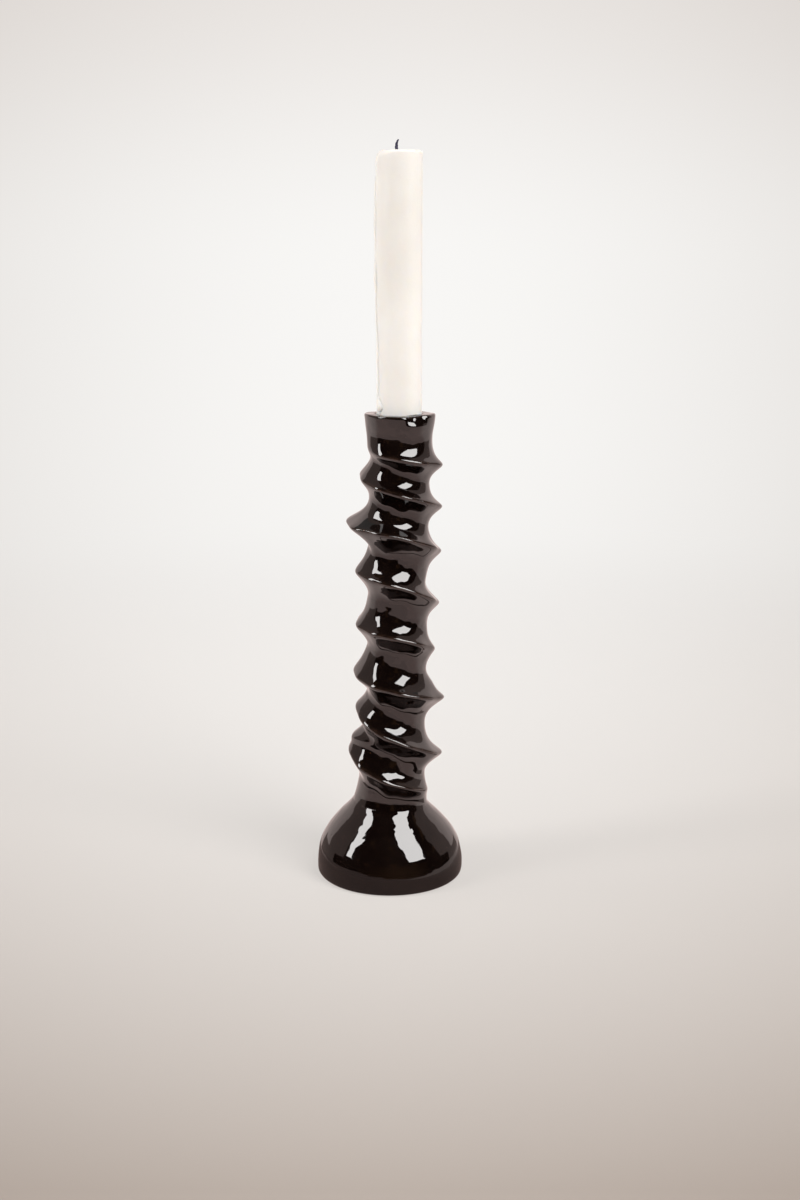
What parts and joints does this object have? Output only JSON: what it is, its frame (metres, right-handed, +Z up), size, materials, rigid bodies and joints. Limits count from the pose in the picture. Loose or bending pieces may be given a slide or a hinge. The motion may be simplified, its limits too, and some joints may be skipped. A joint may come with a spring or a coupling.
{
  "type": "candle holder",
  "caption": "Hand-formed stoneware candle holder: a dome foot and a stem wound with a sharp-crested spiral ridge carry a plain socket with a partly burnt candle.",
  "frame": {"origin": "centre of the foot ring, on the surface that the holder stands on", "axes": "+Z up along the holder, the pictured front faces -Y, +X to the right of the front"},
  "size_m": [0.072, 0.072, 0.3533],
  "materials": {
    "black_glaze": "high-gloss warm black glaze, rippled by hand",
    "wax": "satin off-white candle wax",
    "burnt_cotton": "charred blue-black cotton"
  },
  "bodies": {
    "holder": {"base_dome": "black_glaze", "stem_core": "black_glaze", "spiral_ridge": "black_glaze", "socket_cup": "black_glaze"},
    "candle": {"candle": "wax", "wick": "burnt_cotton", "wax_run": "wax", "wax_bead": "wax"}
  },
  "joints": [
    {"name": "candle_lift", "type": "slide", "parent": "holder", "child": "candle", "axis": [0, 0, 1], "range_m": [0, 0.03]}
  ]
}
